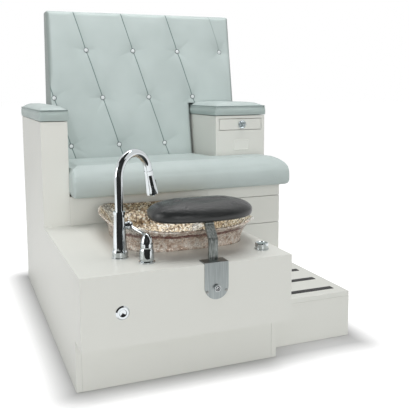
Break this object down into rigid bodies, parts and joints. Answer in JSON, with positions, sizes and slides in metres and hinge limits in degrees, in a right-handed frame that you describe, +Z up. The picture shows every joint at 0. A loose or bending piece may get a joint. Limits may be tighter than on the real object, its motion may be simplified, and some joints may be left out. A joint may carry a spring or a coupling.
{
  "type": "pedicure spa chair",
  "caption": "Pedicure bench with a tufted back, padded seat and arms, a foot deck with a glass bowl, gooseneck faucet and padded footrest, a side step and drawers.",
  "frame": {"origin": "on the floor, midway across the cabinet's width and depth", "axes": "+X to the sitter's left, which is the step side, +Y to the rear, +Z up"},
  "size_m": [1.036, 1.335, 1.258],
  "materials": {
    "white_laminate": "white gloss laminate on board",
    "plywood": "bare birch plywood",
    "aqua_vinyl": "soft satin upholstery vinyl over foam",
    "black_vinyl": "smooth satin vinyl over moulded foam",
    "tread_rubber": "ribbed anti-slip rubber",
    "art_glass": "rippled copper and gold foiled glass",
    "polished_chrome": "polished chrome plate",
    "brushed_steel": "brushed stainless steel",
    "zinc_steel": "zinc plated steel",
    "cut_crystal": "clear cut crystal",
    "button_black": "soft-touch black plastic",
    "supply_copper": "plain copper tube"
  },
  "bodies": {
    "cabinet": {"left_side_panel": "white_laminate", "foot_front_panel": "white_laminate", "foot_right_panel": "white_laminate", "toe_kick": "white_laminate", "deck_top": "white_laminate", "seat_front_panel": "white_laminate", "seat_front_rails": "white_laminate", "right_side_panel": "white_laminate", "rear_panel": "white_laminate", "left_arm_front": "white_laminate", "left_arm_inner_panel": "white_laminate", "right_arm_front": "white_laminate", "right_arm_inner_panel": "white_laminate", "step_front": "white_laminate", "step_side": "white_laminate", "step_top": "white_laminate", "drawer_partition": "plywood", "seat_board": "plywood", "seat_cushion": "aqua_vinyl", "back_board": "aqua_vinyl", "back_cushion": "aqua_vinyl", "left_arm_pad": "aqua_vinyl", "right_arm_pad": "aqua_vinyl", "step_treads": "tread_rubber", "glass_bowl": "art_glass", "drain_body": "polished_chrome", "drain_tailpiece": "polished_chrome", "drain_knob_base": "polished_chrome", "faucet_base": "polished_chrome", "faucet_body": "polished_chrome", "vacuum_breaker_body": "polished_chrome", "vacuum_breaker_bonnet": "polished_chrome", "air_button_bezel": "polished_chrome", "footrest_clamp_bolt": "polished_chrome", "footrest_bracket": "brushed_steel", "mounting_nuts": "zinc_steel", "drain_nut": "zinc_steel", "footrest_guide": "zinc_steel", "side_drawer_runners": "zinc_steel", "arm_drawer_runners": "zinc_steel", "tuft_buttons": "cut_crystal", "supply_tails": "supply_copper"},
    "arm_drawer": {"arm_drawer_front": "white_laminate", "arm_drawer_box": "plywood", "arm_drawer_knob": "cut_crystal"},
    "upper_drawer": {"upper_drawer_front": "white_laminate", "upper_drawer_box": "plywood"},
    "lower_drawer": {"lower_drawer_front": "white_laminate", "lower_drawer_box": "plywood"},
    "spout": {"faucet_spout": "polished_chrome", "spray_dock": "polished_chrome"},
    "spray": {"spray_head": "polished_chrome"},
    "spray_button": {"spray_toggle": "button_black"},
    "mixer_hub": {"lever_hub": "polished_chrome"},
    "mixer_lever": {"lever_handle": "polished_chrome"},
    "drain_control": {"drain_knob": "polished_chrome"},
    "stopper": {"drain_stopper": "polished_chrome"},
    "push_button": {"air_button": "polished_chrome"},
    "footrest": {"footrest_post": "brushed_steel", "footrest_pad": "black_vinyl"}
  },
  "joints": [
    {"name": "arm_drawer_slide", "type": "slide", "parent": "cabinet", "child": "arm_drawer", "axis": [0, -1, 0], "range_m": [0, 0.17]},
    {"name": "upper_drawer_slide", "type": "slide", "parent": "cabinet", "child": "upper_drawer", "axis": [0, -1, 0], "range_m": [0, 0.3]},
    {"name": "lower_drawer_slide", "type": "slide", "parent": "cabinet", "child": "lower_drawer", "axis": [0, -1, 0], "range_m": [0, 0.3]},
    {"name": "spout_swivel", "type": "hinge", "parent": "cabinet", "child": "spout", "pos_m": [-0.349, -0.4895, 0.527], "axis": [0, 0, 1], "range_deg": [-10, 100]},
    {"name": "spray_pull", "type": "slide", "parent": "spout", "child": "spray", "axis": [0.2029, 0.1318, -0.9703], "range_m": [0, 0.018]},
    {"name": "spray_toggle_press", "type": "slide", "parent": "spray", "child": "spray_button", "axis": [-0.8138, -0.5285, -0.2419], "range_m": [0, 0.0015], "stiffness_N_per_m": 1200},
    {"name": "temperature_turn", "type": "hinge", "parent": "cabinet", "child": "mixer_hub", "pos_m": [-0.319, -0.4895, 0.48], "axis": [1, 0, 0], "range_deg": [-40, 25]},
    {"name": "flow_lift", "type": "hinge", "parent": "mixer_hub", "child": "mixer_lever", "pos_m": [-0.319, -0.4895, 0.48], "axis": [-0.866, -0.5, 0], "range_deg": [0, 25]},
    {"name": "drain_knob_turn", "type": "hinge", "parent": "cabinet", "child": "drain_control", "pos_m": [0.107, -0.5695, 0.384], "axis": [0, 0, 1], "range_deg": [0, 90]},
    {"name": "stopper_lift", "type": "slide", "parent": "cabinet", "child": "stopper", "axis": [0, 0, 1], "range_m": [0, 0.01]},
    {"name": "air_button_press", "type": "slide", "parent": "cabinet", "child": "push_button", "axis": [0, 1, 0], "range_m": [0, 0.004], "stiffness_N_per_m": 900},
    {"name": "footrest_height", "type": "slide", "parent": "cabinet", "child": "footrest", "axis": [0, 0, 1], "range_m": [0, 0.08]}
  ],
  "couplings": [
    {"joint": "stopper_lift", "follows": "drain_knob_turn", "m_per_rad": 0.0063662}
  ]
}
